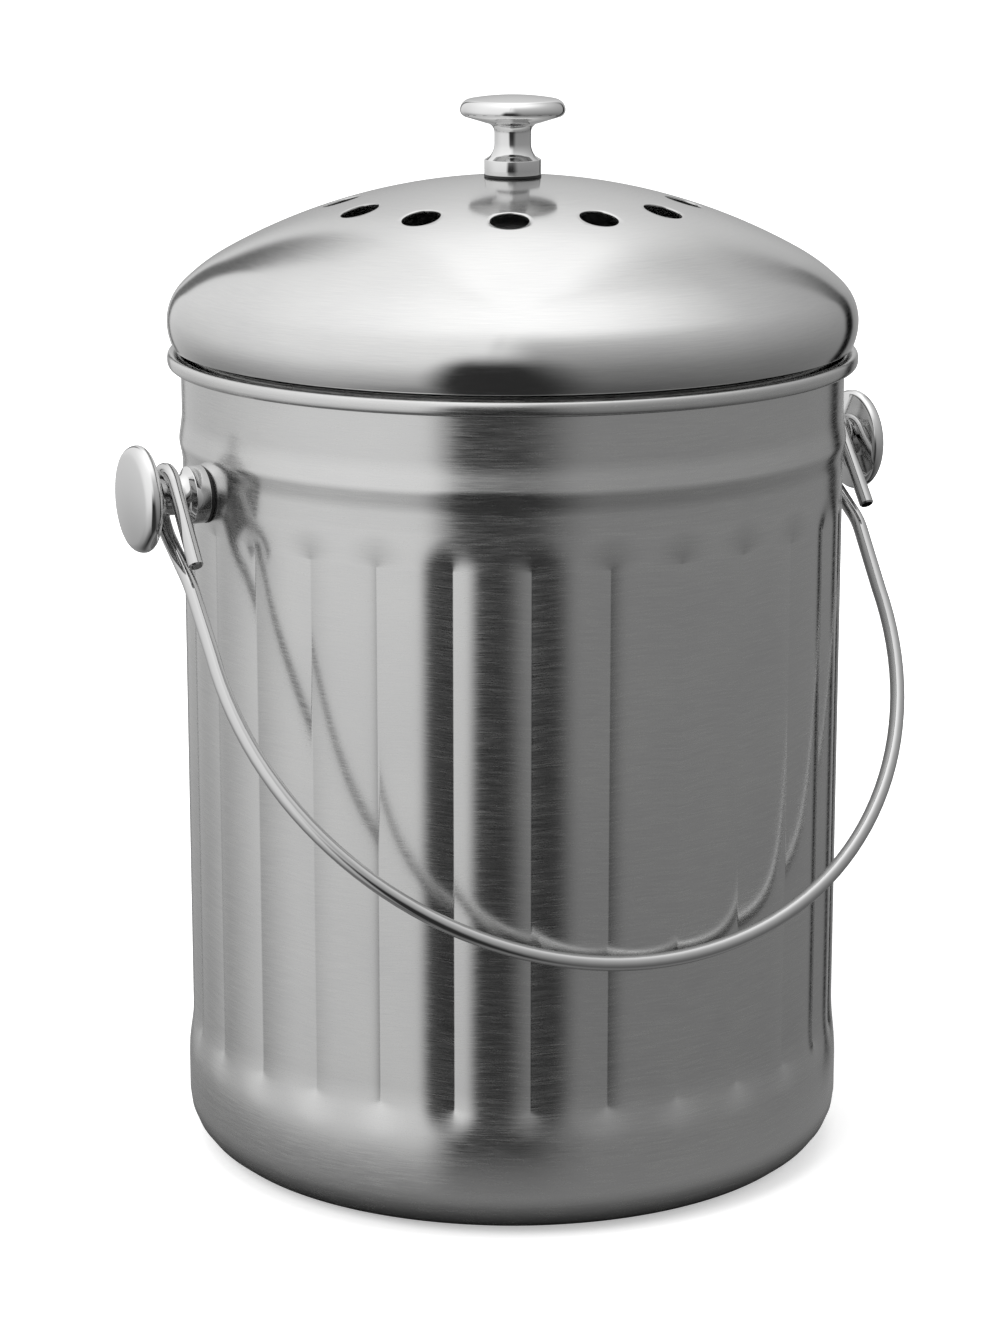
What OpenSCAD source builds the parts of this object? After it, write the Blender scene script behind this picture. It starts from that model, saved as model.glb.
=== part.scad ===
// Compost caddy: a fluted sheet-steel pail with a bail handle hung on two side
// studs, and a lift-off domed lid with vent holes over a charcoal filter.
// Millimetres, +Z up. The pail stands on Z = 0 with its axis on Z, the two
// studs lie along X, and the bail hangs down in front, towards -Y.

/* [Pail] */
// Height of the pail to the top of its rolled rim
pail_h = 198.2; // [170:0.1:240]
// Outside radius of the plain neck
neck_r = 80; // [70:0.5:100]
// Thickness of the pail's sheet
sheet_t = 0.8; // [0.6:0.1:1.2]
// Radius of the rounded bottom edge
corner_r = 12; // [8:0.5:16]
// How far the plain bottom band stands out from the neck
band_out = 1.2; // [0.8:0.1:2.5]
// Height of the straight part of the bottom band
band_h = 22; // [18:0.5:26]
// Height over which the band draws in to the flutes
band_blend = 8; // [5:0.5:10]
// Radius of the rolled bead round the rim
bead_r = 2.05; // [1.5:0.05:3]
// Width of the flat ring that the pail stands on
foot_ring_w = 11.2; // [8:0.1:20]
// Height of the raised panel above the foot ring
foot_rise = 1; // [0.5:0.1:2]

/* [Shoulder ridge] */
// Drop from the top of the rim to the crest of the ridge
ridge_drop = 21.6; // [18:0.1:24]
// How far the crest stands out from the neck
ridge_out = 0.8; // [0.4:0.1:1.5]
// Height of the slope above the crest
ridge_up = 5.4; // [3:0.1:8]
// Height of the slope below the crest
ridge_down = 4; // [3:0.1:6]

/* [Flutes] */
// Number of flutes round the pail
flute_n = 28; // [20:1:36]
// Height where the flutes start
flute_low = 31; // [30:0.5:36]
// Drop from the top of the rim to the upper end of the flutes
flute_drop = 39.2; // [38:0.1:80]
// Depth of the crease between two flutes
flute_depth = 0.9; // [0.6:0.05:1.3]
// How far the crest of a flute stands out from the neck
flute_out = 0.15; // [0.05:0.05:0.4]
// Length over which a crease runs out at each end
flute_run = 4; // [3:0.5:6]
// Turn of the first crease from the +X axis, in degrees
flute_turn = 3.7; // [0:0.1:12]

/* [Lid] */
// How far the lid's belly stands out from the pail's neck
belly_out = 3.15; // [2.5:0.05:5]
// Height of the belly above the lid's lower edge
belly_h = 5.7; // [4:0.1:8]
// Radius of the curve under the belly
under_r = 14; // [10:0.5:20]
// Radius of the tight curve over the belly
knuckle_r = 11.8; // [8:0.1:16]
// Slope where the tight curve ends, in degrees
knuckle_a = 45; // [35:1:50]
// Radius of the wider curve above it
shoulder_r = 44; // [25:1:70]
// Slope where the wider curve ends, in degrees
shoulder_a = 61; // [55:1:66]
// Thickness of the lid's sheet
lid_t = 0.8; // [0.6:0.1:1.2]
// Depth of the skirt below the flange that rests on the rim
skirt_h = 11.5; // [10:0.5:13]
// Radial play of the skirt inside the mouth of the pail
skirt_play = 0.5; // [0.3:0.1:1]

/* [Vents] */
// Number of vent holes
vent_n = 12; // [6:1:16]
// Radius of a vent hole
vent_r = 4.5; // [3:0.1:6]
// Radius of the ring of vent holes
vent_ring_r = 41; // [30:0.5:55]
// Turn of the first vent hole from the +X axis, in degrees
vent_turn = 3.85; // [0:0.05:30]

/* [Filter] */
// Thickness of the charcoal felt
felt_t = 6; // [4:0.5:6.5]
// Wall of the retaining ring
ring_t = 1.3; // [1:0.1:2]
// Thickness of the floor of the retaining ring
ring_floor_t = 1.2; // [1:0.1:1.6]
// Width of the ledge that holds the felt's edge
ring_ledge = 8; // [5:0.5:12]
// Width of a bar across the ring
ring_bar_w = 5; // [3:0.5:8]
// Number of bars across the ring
ring_bar_n = 3; // [2:1:4]

/* [Knob and studs] */
// Radius of the round cap
cap_r = 12.6; // [10:0.1:15]
// Height of the widest part of the cap above the base
cap_h = 15.35; // [14.5:0.05:17]
// Radius of the upper edge of the cap
cap_top_edge = 2.6; // [2:0.1:3]
// Radius of the lower edge of the cap
cap_low_edge = 1.6; // [1.2:0.1:2]
// Slope at which the lower edge of the cap ends, in degrees
cap_under_a = 65; // [50:1:80]
// Radius of the curve across the top of the cap
cap_crown_r = 60; // [40:1:100]
// Radius of the collar at the base
collar_r = 6.8; // [6.2:0.1:8]
// Height of the collar
collar_h = 3.6; // [3:0.1:4]
// Height of the chamfer on top of the collar
collar_chamfer = 0.8; // [0.5:0.1:1]
// How far the foot of the neck stands out from the neck
foot_flare = 1.1; // [0.8:0.1:1.5]
// Radius of the curve from the neck to the cap
cap_flare = 2.3; // [2:0.1:3]
// Radius of the neck that the bail turns on
stem_r = 4.4; // [4:0.1:5]
// Height where the straight part of the neck starts
stem_low = 7.4; // [7:0.1:7.8]
// Length of the straight part of the neck
stem_l = 2.6; // [2:0.1:3]
// Drop from the top of the rim to the studs' axis
stud_drop = 30.2; // [26:0.1:31]

/* [Fasteners] */
// Radius of the screws' shanks
screw_r = 2.5; // [2:0.1:3]
// Length of screw inside a knob or stud
screw_grip = 7; // [5:0.5:8]
// Radius of a screw's head
head_r = 4.5; // [4:0.1:5.5]
// Height of a screw's head
head_h = 2.6; // [2:0.1:3]
// Radius of the flat washers
washer_r = 6; // [5:0.1:6.5]
// Thickness of the flat washers
washer_t = 1; // [0.8:0.1:1.5]
// Radius of the spring lock washers
lock_r = 4.4; // [4:0.1:5]
// Thickness of the spring lock washers
lock_t = 1.1; // [0.8:0.1:1.5]
// Thickness of the rubber gaskets
gasket_t = 0.4; // [0.3:0.1:1]
// How far a gasket stands out from its collar
gasket_out = 0.05; // [0:0.05:0.4]

/* [Bail] */
// Radius of the bail's wire
wire_r = 1.8; // [1.4:0.1:2]
// Distance from the studs' axis to the middle of the bail
bail_drop = 130.5; // [120:0.5:150]
// How far the round part of the bail stands out from the pail's neck
bail_out = 8.3; // [6:0.1:12]
// Length of the open end of each hook
hook_tail = 22; // [16:0.5:30]
// Straight length of the hook on its closed side
hook_side = 6; // [4:0.5:8]
// Drop from the studs' axis to where the hook joins the leg
hook_join = 23; // [20:0.5:28]

/* [Fits] */
// Running clearance of a hook round its stud
hook_fit = 0.06; // [0.03:0.01:0.1]
// Gap between parts that rest on or slide past each other
rest_gap = 0.3; // [0.2:0.05:0.4]
// Radial clearance of a screw in what it holds
screw_fit = 0.05; // [0.02:0.01:0.1]
// Radial clearance of a screw in a washer, a gasket or a sheet
hole_fit = 0.25; // [0.1:0.05:0.4]

/* [Hidden] */

// Facets of the round parts: large turned forms, small ones and the wire
fn_large = 128;
fn_small = 64;
fn_wire = 32;
// Facets of a cutter that shapes a thin gasket
fn_seat = 720;
// Steps in one curve of a turned outline, and across one flute
arc_steps = 8;
lobe_steps = 6;
// Extra length of a cutter past the face that it cuts
cut = 1;

left = -1;
right = 1;

// Pail
inner_r = neck_r - sheet_t;
band_r = neck_r + band_out;
foot_panel_r = band_r - corner_r - foot_ring_w;
bead_z = pail_h - bead_r;
ridge_z = pail_h - ridge_drop;
flute_high = pail_h - flute_drop;
crest_r = neck_r + flute_out;
crease_r = crest_r - flute_depth;
// Radius of the plain core that the flutes cover, just under their creases
core_r = crease_r - 0.2;
half_lobe = 180 / flute_n;
// Radius of one flute's own curve, and the distance of its centre from the axis
lobe_curve = (crest_r * crest_r + crease_r * crease_r - 2 * crest_r * crease_r * cos(half_lobe))
    / (2 * (crest_r - crease_r * cos(half_lobe)));
lobe_centre = crest_r - lobe_curve;

// Lid
lid_z = pail_h + rest_gap;
flange_t = lid_t;
dome_z = lid_z + flange_t;
belly_r = neck_r + belly_out;
belly_z = dome_z + belly_h;
skirt_r = inner_r - skirt_play;
skirt_in = skirt_r - lid_t;
flange_r = belly_r - under_r + sqrt(under_r * under_r - belly_h * belly_h);
knuckle_c = [belly_r - knuckle_r, belly_z];
shoulder_c = knuckle_c - (shoulder_r - knuckle_r) * [cos(knuckle_a), sin(knuckle_a)];
crown_r = shoulder_r + shoulder_c[0] / cos(shoulder_a);
crown_z = shoulder_c[1] - (crown_r - shoulder_r) * sin(shoulder_a);
apex_z = crown_z + crown_r;

// Filter
skirt_low = lid_z - skirt_h;
ring_z = skirt_low - rest_gap - ring_floor_t;
ring_r = skirt_in - rest_gap;
felt_r = ring_r - ring_t - rest_gap;

// Knob and studs
stem_mid = stem_low + stem_l / 2;
stud_x = neck_r + gasket_t;
stud_z = pail_h - stud_drop;
knob_z = apex_z + gasket_t;
screw_hole_r = screw_r + hole_fit;
// The flat washer touches the curved wall at its edges
wall_seat = sqrt(inner_r * inner_r - washer_r * washer_r);
// The washer under the dome touches the first straight step of its outline
dome_seat = crown_z + crown_r - lid_t - washer_r * tan((90 - shoulder_a) / arc_steps / 2);

// Bail
hook_x = stud_x + stem_mid;
hook_r = stem_r + hook_fit + wire_r;
bail_r = neck_r + bail_out;
bail_lean = asin((crest_r + wire_r + rest_gap) / bail_drop);
bend_swell = 0.05;

// Points of an arc of radius r round c, from angle a to angle b
function arc(c, r, a, b) = [for (i = [0 : arc_steps])
    let (t = a + (b - a) * i / arc_steps) c + r * [cos(t), sin(t)]];

// Outline of all the flutes, for a sheet face that lies in by depth
function flutes(depth) = [for (i = [0 : flute_n - 1], k = [0 : lobe_steps - 1])
    let (a = half_lobe * (2 * k / lobe_steps - 1))
    let (r = lobe_centre * cos(a) + sqrt(pow(lobe_curve - depth, 2) - pow(lobe_centre * sin(a), 2)))
    let (t = flute_turn + half_lobe * (2 * i + 1) + a)
    r * [cos(t), sin(t)]];

// A solid turned round Z from an outline, with its facets given
module turned(points, facets = fn_large) {
    rotate_extrude($fn = facets) polygon(points);
}

// Turned form of the pail, for a sheet face that lies in by depth: the bottom
// corner, the band, the core under the flutes, and the neck
module pail_form(depth, top_z) {
    turned(concat(
        [[0, foot_rise + depth], [foot_panel_r - foot_rise, foot_rise + depth], [foot_panel_r, depth]],
        arc([band_r - corner_r, corner_r], corner_r - depth, -90, 0),
        [[band_r - depth, band_h],
        [core_r - depth, band_h + band_blend + flute_run],
        [core_r - depth, flute_high - flute_run],
        [neck_r - depth, flute_high],
        [neck_r - depth, ridge_z - ridge_down],
        [neck_r + ridge_out - depth, ridge_z],
        [neck_r - depth, ridge_z + ridge_up],
        [neck_r - depth, top_z], [0, top_z]]));
}

// The fluted length, run out at its top end to less than the neck's radius
module flute_form(depth) {
    intersection() {
        translate([0, 0, flute_low - flute_run])
            linear_extrude(flute_high - flute_low + 3 * flute_run) polygon(flutes(depth));
        turned([[0, 0], [crest_r + cut, 0], [crest_r - depth + cut, flute_high - flute_run],
            [crest_r - depth - cut, flute_high + flute_run], [0, flute_high + flute_run]]);
    }
}

module pail_form_fluted(depth, top_z) {
    pail_form(depth, top_z);
    flute_form(depth);
}

module pail_body() {
    color("silver") {
        difference() {
            pail_form_fluted(0, bead_z);
            pail_form_fluted(sheet_t, bead_z + cut);
            for (side = [left, right])
                along_stud(side) translate([0, 0, -sheet_t - washer_t])
                    cylinder(h = sheet_t + washer_t + gasket_t, r = screw_hole_r, $fn = fn_small);
        }
        rotate_extrude($fn = fn_large) translate([inner_r + bead_r, bead_z]) circle(bead_r, $fn = fn_wire);
    }
}

// Puts its children on a stud's axis, with Z outwards from the neck's surface
module along_stud(side) {
    translate([side * neck_r, 0, stud_z]) rotate([0, side * 90, 0]) children();
}

// Puts its children at a height on the pail's or the lid's own axis
module at_height(z) {
    translate([0, 0, z]) children();
}

// One turned knob, standing on Z = 0 with a blind screw hole from below; the
// lid's knob and both studs are this part
module knob() {
    stem_top = stem_low + stem_l;
    foot_r = stem_r + foot_flare;
    foot_z = collar_h + collar_chamfer;
    low_flare = (pow(foot_r - stem_r, 2) + pow(stem_low - foot_z, 2)) / (2 * (foot_r - stem_r));
    low_angle = asin((stem_low - foot_z) / low_flare);
    edge_x = cap_r - cap_top_edge;
    crown_angle = asin(edge_x / (cap_crown_r - cap_top_edge));
    crown_centre = cap_h - sqrt(pow(cap_crown_r - cap_top_edge, 2) - edge_x * edge_x);
    color("gainsboro") difference() {
        turned(concat(
            [[0, 0], [collar_r, 0], [collar_r, collar_h], [foot_r, foot_z]],
            arc([stem_r + low_flare, stem_low], low_flare, 180 + low_angle, 180),
            arc([stem_r + cap_flare, stem_top], cap_flare, 180, 90),
            arc([cap_r - cap_low_edge, cap_h], cap_low_edge, -cap_under_a, 0),
            arc([edge_x, cap_h], cap_top_edge, 0, 90 - crown_angle),
            arc([0, crown_centre], cap_crown_r, 90 - crown_angle, 90)), fn_small);
        at_height(-cut) cylinder(h = screw_grip + 2 * cut, r = screw_r + screw_fit, $fn = fn_small);
    }
}

// A rubber disc under a knob, before it is shaped to the sheet below it
module gasket_blank(depth) {
    at_height(-depth) difference() {
        cylinder(h = gasket_t + depth, r = collar_r + gasket_out, $fn = fn_small);
        at_height(-cut) cylinder(h = gasket_t + depth + 2 * cut, r = screw_hole_r, $fn = fn_small);
    }
}

// A flat ring standing on Z = 0
module washer(outer, thickness) {
    color("lightgray") difference() {
        cylinder(h = thickness, r = outer, $fn = fn_small);
        at_height(-cut) cylinder(h = thickness + 2 * cut, r = screw_hole_r, $fn = fn_small);
    }
}

// A flat ring split by a slanting gap, as a spring washer is
module lock_washer() {
    gap_w = 0.8;
    difference() {
        washer(lock_r, lock_t);
        translate([screw_r, 0, lock_t / 2]) rotate([30, 0, 0])
            cube([2 * lock_r, gap_w, 4 * lock_t], center = true);
    }
}

// A pan-head screw, head below Z = 0 and shank above it
module pan_screw(shank) {
    slot_w = 1.1;
    slot_l = head_r;
    head_edge = 1;
    color("lightgray") difference() {
        union() {
            cylinder(h = shank, r = screw_r, $fn = fn_small);
            turned(concat([[0, 0], [0, -head_h]],
                arc([head_r - head_edge, head_edge - head_h], head_edge, -90, 0), [[head_r, 0]]), fn_small);
        }
        for (turn = [0, 90])
            rotate([0, 0, turn]) translate([-slot_l / 2, -slot_w / 2, -head_h - cut])
                cube([slot_l, slot_w, head_h / 2 + cut]);
    }
}

// The stack of washers and screw behind a sheet: each sits on the one above it
module stack_washer(seat) {
    at_height(seat - washer_t) washer(washer_r, washer_t);
}

module stack_lock_washer(seat) {
    at_height(seat - washer_t - lock_t) lock_washer();
}

module stack_screw(seat, knob_base) {
    head_seat = seat - washer_t - lock_t;
    at_height(head_seat) pan_screw(knob_base + screw_grip - head_seat);
}

module stud_gasket(side) {
    color("dimgray") difference() {
        along_stud(side) gasket_blank(sheet_t);
        turned([[0, flute_high], [neck_r, flute_high], [neck_r, ridge_z - ridge_down],
            [neck_r + ridge_out, ridge_z], [0, ridge_z]], fn_seat);
    }
}

module left_handle_stud() {
    along_stud(left) at_height(gasket_t) knob();
}

module right_handle_stud() {
    along_stud(right) at_height(gasket_t) knob();
}

module left_stud_gasket() {
    stud_gasket(left);
}

module right_stud_gasket() {
    stud_gasket(right);
}

module left_stud_washer() {
    along_stud(left) stack_washer(wall_seat - neck_r);
}

module right_stud_washer() {
    along_stud(right) stack_washer(wall_seat - neck_r);
}

module left_stud_lock_washer() {
    along_stud(left) stack_lock_washer(wall_seat - neck_r);
}

module right_stud_lock_washer() {
    along_stud(right) stack_lock_washer(wall_seat - neck_r);
}

module left_stud_screw() {
    along_stud(left) stack_screw(wall_seat - neck_r, gasket_t);
}

module right_stud_screw() {
    along_stud(right) stack_screw(wall_seat - neck_r, gasket_t);
}

// A straight length of wire from a to b, with a ball at b where the wire bends
// and swells a little
module wire(a, b) {
    run = b - a;
    length = norm(run);
    tilt = acos(run[2] / length);
    turn = atan2(run[1], run[0]);
    translate(a) rotate([0, tilt, turn]) cylinder(h = length, r = wire_r, $fn = fn_wire);
    translate(b) sphere(r = wire_r + bend_swell, $fn = fn_wire);
}

// One side of the bail, hanging straight down: the hook over the stud's neck,
// open at the front, and the leg down to where the round part starts
module bail_side(side) {
    x = side * hook_x;
    leg_end = [side * bail_r, 0, bail_r - bail_drop];
    hook_back = [x, hook_r, -hook_side];
    hook_foot = [x, 0, -hook_join];
    translate([x, 0, 0]) rotate([90, 0, 90]) rotate_extrude(angle = 180, $fn = fn_small)
        translate([hook_r, 0]) circle(wire_r, $fn = fn_wire);
    translate([x, -hook_r, -hook_tail]) cylinder(h = hook_tail, r = wire_r, $fn = fn_wire);
    wire([x, hook_r, 0], hook_back);
    wire(hook_back, hook_foot);
    wire(hook_foot, leg_end);
}

module bail_handle() {
    color("gainsboro") translate([0, 0, stud_z]) rotate([-bail_lean, 0, 0]) {
        for (side = [left, right])
            bail_side(side);
        translate([0, 0, bail_r - bail_drop]) rotate([-90, 0, 0]) rotate_extrude(angle = 180, $fn = fn_large)
            translate([bail_r, 0]) circle(wire_r, $fn = fn_wire);
    }
}

// Outline of the dome's face that lies in by depth, from its lower edge to the top
function dome_outline(depth) = concat(
    arc([belly_r - under_r, belly_z], under_r - depth, -asin(belly_h / (under_r - depth)), 0),
    arc(knuckle_c, knuckle_r - depth, 0, knuckle_a),
    arc(shoulder_c, shoulder_r - depth, knuckle_a, shoulder_a),
    arc([0, crown_z], crown_r - depth, shoulder_a, 90));

module lid_dome() {
    color("silver") difference() {
        turned(concat([[0, dome_z]], dome_outline(0)));
        turned(concat([[0, dome_z - cut], [flange_r - lid_t, dome_z - cut]], dome_outline(lid_t)));
        for (i = [0 : vent_n - 1])
            rotate([0, 0, vent_turn + 360 * i / vent_n]) translate([vent_ring_r, 0, belly_z])
                cylinder(h = apex_z, r = vent_r, $fn = fn_small);
        at_height(belly_z) cylinder(h = apex_z, r = screw_hole_r, $fn = fn_small);
    }
}

// The ring under the dome: a flange that rests on the rim and a skirt that
// keeps the lid in the mouth of the pail
module lid_skirt() {
    color("silver") turned([[skirt_in, skirt_low], [skirt_r, skirt_low], [skirt_r, lid_z],
        [flange_r, lid_z], [flange_r, dome_z], [skirt_in, dome_z]]);
}

module lid_knob() {
    at_height(knob_z) knob();
}

module lid_knob_gasket() {
    color("dimgray") difference() {
        at_height(apex_z) gasket_blank(lid_t);
        turned(concat([[0, dome_z]], dome_outline(0)));
    }
}

module lid_knob_washer() {
    stack_washer(dome_seat);
}

module lid_knob_lock_washer() {
    stack_lock_washer(dome_seat);
}

module lid_knob_screw() {
    stack_screw(dome_seat, knob_z);
}

module charcoal_filter() {
    color("dimgray") at_height(ring_z + ring_floor_t) cylinder(h = felt_t, r = felt_r, $fn = fn_large);
}

// A ring that pushes up into the skirt, with a lip under the skirt's edge, and
// a ledge and bars that carry the felt
module filter_retaining_ring() {
    floor_top = ring_z + ring_floor_t;
    opening_r = felt_r - ring_ledge;
    color("darkslategray") {
        turned([[opening_r, ring_z], [skirt_r, ring_z], [skirt_r, floor_top], [ring_r, floor_top],
            [ring_r, floor_top + felt_t], [ring_r - ring_t, floor_top + felt_t],
            [ring_r - ring_t, floor_top], [opening_r, floor_top]]);
        for (i = [0 : ring_bar_n - 1])
            rotate([0, 0, 180 * i / ring_bar_n]) translate([-opening_r - cut, -ring_bar_w / 2, ring_z])
                cube([2 * opening_r + 2 * cut, ring_bar_w, ring_floor_t]);
    }
}

pail_body();
left_handle_stud();
right_handle_stud();
left_stud_gasket();
right_stud_gasket();
left_stud_washer();
right_stud_washer();
left_stud_lock_washer();
right_stud_lock_washer();
left_stud_screw();
right_stud_screw();
bail_handle();
lid_dome();
lid_skirt();
lid_knob();
lid_knob_gasket();
lid_knob_washer();
lid_knob_lock_washer();
lid_knob_screw();
charcoal_filter();
filter_retaining_ring();
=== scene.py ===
"""Looks of the fluted steel compost pail: fine meshes, finishes and a plain studio.

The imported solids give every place. The pail, its lid, the bail, the knobs and
their gaskets are modelled again here as fine meshes inside the same sizes, and
the small fasteners keep their solids and get a finish.
"""
import logging
import math
from dataclasses import dataclass
from enum import Enum
from itertools import pairwise
from typing import Any, Callable, Sequence

import bmesh
import bpy
from bmesh.types import BMesh, BMEdge, BMVert
from bpy.types import Camera, Light, Material, Node, NodeSocket, NodeTree, Object
from mathutils import Matrix, Vector


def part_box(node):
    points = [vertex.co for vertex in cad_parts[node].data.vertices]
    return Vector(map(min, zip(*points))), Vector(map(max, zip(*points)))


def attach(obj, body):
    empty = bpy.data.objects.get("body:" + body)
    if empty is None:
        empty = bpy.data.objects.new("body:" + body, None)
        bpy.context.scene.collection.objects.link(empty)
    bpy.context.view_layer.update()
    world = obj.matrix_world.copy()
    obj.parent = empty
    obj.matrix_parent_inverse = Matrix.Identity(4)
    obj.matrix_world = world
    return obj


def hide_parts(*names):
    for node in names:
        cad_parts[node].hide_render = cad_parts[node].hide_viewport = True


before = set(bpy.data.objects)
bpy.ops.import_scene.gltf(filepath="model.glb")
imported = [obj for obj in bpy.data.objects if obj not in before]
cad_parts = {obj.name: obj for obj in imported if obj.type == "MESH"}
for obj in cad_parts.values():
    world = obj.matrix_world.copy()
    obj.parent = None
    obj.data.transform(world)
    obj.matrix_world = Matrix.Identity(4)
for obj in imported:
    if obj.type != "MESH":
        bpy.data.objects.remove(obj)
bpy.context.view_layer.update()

LOG = logging.getLogger("compost_pail")
MM = 0.001
# Vertices nearer than this are one, in millimetres
WELD = 0.001
# The angle between faces from which an edge stays sharp, in degrees
SHARP_ANGLE = 40.0
# Half the angle of a corner from which it counts as straight, in degrees
STRAIGHT_ANGLE = 89.5
# How near to a crease, as a part of a flute, a vertex counts as being on it
ON_CREASE = 1e-6

Corner = tuple[float, float, float]


class Body(Enum):
    """The bodies that the modelled pieces ride on."""

    PAIL = "pail"
    BAIL = "bail"
    LID = "lid"


class Slot(Enum):
    """The material slots of the record."""

    PAIL_STEEL = "brushed_pail_steel"
    LID_STEEL = "brushed_lid_steel"
    CHROME = "polished_chrome"
    WIRE = "polished_wire"
    ZINC = "zinc_plated_steel"
    RUBBER = "black_rubber"
    FELT = "charcoal_felt"
    PLASTIC = "black_moulded_plastic"


# ---------------------------------------------------------------- colours and nodes


def linear(hex_colour: str) -> tuple[float, float, float, float]:
    """Turn an sRGB hex colour into linear light.

    Args:
        hex_colour: Six hex digits, such as "C8C8C8".

    Returns:
        Red, green, blue and an alpha of 1.
    """
    channels = [int(hex_colour[i : i + 2], 16) / 255 for i in (0, 2, 4)]
    red, green, blue = (
        c / 12.92 if c <= 0.04045 else ((c + 0.055) / 1.055) ** 2.4 for c in channels
    )
    return red, green, blue, 1.0


def per_metre(size_mm: float) -> float:
    """Return how many features of a size in millimetres fit in a metre."""
    return 1 / (size_mm * MM)


def add_node(
    tree: NodeTree,
    kind: str,
    settings: dict[str | int, Any] | None = None,
    links: dict[str | int, Node | NodeSocket] | None = None,
) -> Node:
    """Add one node with its settings and links.

    Args:
        tree: The node tree to add to.
        kind: The node's type without "ShaderNode", such as "Math".
        settings: Values for its sockets, by name or number, or for its properties.
        links: What feeds its inputs, by name or number: a socket, or a node's first output.

    Returns:
        The new node.
    """
    node = tree.nodes.new(f"ShaderNode{kind}")
    properties = {k: v for k, v in (settings or {}).items() if hasattr(node, str(k))}
    for name, value in properties.items():
        setattr(node, name, value)
    for name, value in (settings or {}).items():
        if name not in properties:
            node.inputs[name].default_value = value
    for name, source in (links or {}).items():
        socket = source.outputs[0] if isinstance(source, Node) else source
        tree.links.new(socket, node.inputs[name])
    return node


def make_material(name: str, surface: Callable[[NodeTree, NodeSocket], Node]) -> Material:
    """Make a node material.

    Args:
        name: The material's name.
        surface: What adds its nodes to a tree, from object coordinates, and returns its shader.

    Returns:
        The new material.
    """
    material = bpy.data.materials.new(name)
    material.use_nodes = True
    tree = material.node_tree
    tree.nodes.clear()
    place = add_node(tree, "TexCoord").outputs["Object"]
    add_node(tree, "OutputMaterial", links={"Surface": surface(tree, place)})
    return material


# ---------------------------------------------------------------- finishes


@dataclass(frozen=True)
class Finish:
    """What a material is made of. Sizes are in millimetres."""

    def surface(self, tree: NodeTree, place: NodeSocket) -> Node:
        """Add the nodes of the finish.

        Args:
            tree: The material's node tree.
            place: Its object coordinates.

        Returns:
            The shader.
        """
        raise NotImplementedError


@dataclass(frozen=True)
class BrushedSteel(Finish):
    """Stainless steel sheet, brushed round its axis with an abrasive belt.

    The scratches run round the axis, so a reflection stays crisp across and
    smears up and down, and single scratches show as fine light streaks. They
    are about ten times as coarse as real ones, so that they show in a render.
    """

    colour: str = "D3D3D2"
    dull_colour: str = "CBCBCB"
    roughness: float = 0.22
    roughness_spread: float = 0.14
    anisotropy: float = 0.65
    scratch_width: float = 0.3
    scratch_length: float = 7.0
    scratch_height: float = 0.0008
    scratch_share: float = 0.6
    cloud_size: float = 28.0

    def surface(self, tree: NodeTree, place: NodeSocket) -> Node:
        """Add the brushed steel's nodes.

        Args:
            tree: The material's node tree.
            place: Its object coordinates.

        Returns:
            The shader.
        """
        axes = add_node(tree, "SeparateXYZ", links={"Vector": place})
        plan = {"X": axes.outputs["X"], "Y": axes.outputs["Y"]}
        flat = add_node(tree, "CombineXYZ", links=plan)
        radius = add_node(tree, "VectorMath", {"operation": "LENGTH"}, {0: flat})
        # Height less radius runs along the outline of every turned sheet
        along = add_node(
            tree, "Math", {"operation": "SUBTRACT"},
            {0: axes.outputs["Z"], 1: radius.outputs["Value"]},
        )
        grain = add_node(tree, "CombineXYZ", links={**plan, "Z": along})
        around = per_metre(self.scratch_length)
        stretched = add_node(
            tree, "Mapping", {"Scale": (around, around, per_metre(self.scratch_width))},
            {"Vector": grain},
        )
        scratches = add_node(
            tree, "TexNoise", {"Scale": 1.0, "Detail": 3.0, "Roughness": 0.65},
            {"Vector": stretched},
        )
        clouds = add_node(
            tree, "TexNoise", {"Scale": per_metre(self.cloud_size)}, {"Vector": place}
        )
        wear = add_node(
            tree, "Mix", {"data_type": "FLOAT", 0: self.scratch_share},
            {2: clouds, 3: scratches},
        )
        spread = add_node(tree, "MapRange", {"From Min": 0.35, "From Max": 0.65}, {"Value": wear})
        colours = {"data_type": "RGBA", 6: linear(self.dull_colour), 7: linear(self.colour)}
        tint = add_node(tree, "Mix", colours, {0: spread})
        half = self.roughness_spread / 2
        gloss = add_node(
            tree, "MapRange",
            {
                "From Min": 0.3, "From Max": 0.7,
                "To Min": self.roughness - half, "To Max": self.roughness + half,
            },
            {"Value": scratches},
        )
        bump = add_node(
            tree, "Bump", {"Distance": self.scratch_height * MM}, {"Height": scratches}
        )
        tangent = add_node(tree, "Tangent", {"direction_type": "RADIAL", "axis": "Z"})
        return add_node(
            tree, "BsdfPrincipled",
            # A quarter turn lays the smear across the scratches
            {"Metallic": 1.0, "Anisotropic": self.anisotropy, "Anisotropic Rotation": 0.25},
            {"Base Color": tint.outputs[2], "Roughness": gloss, "Normal": bump, "Tangent": tangent},
        )


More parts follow.
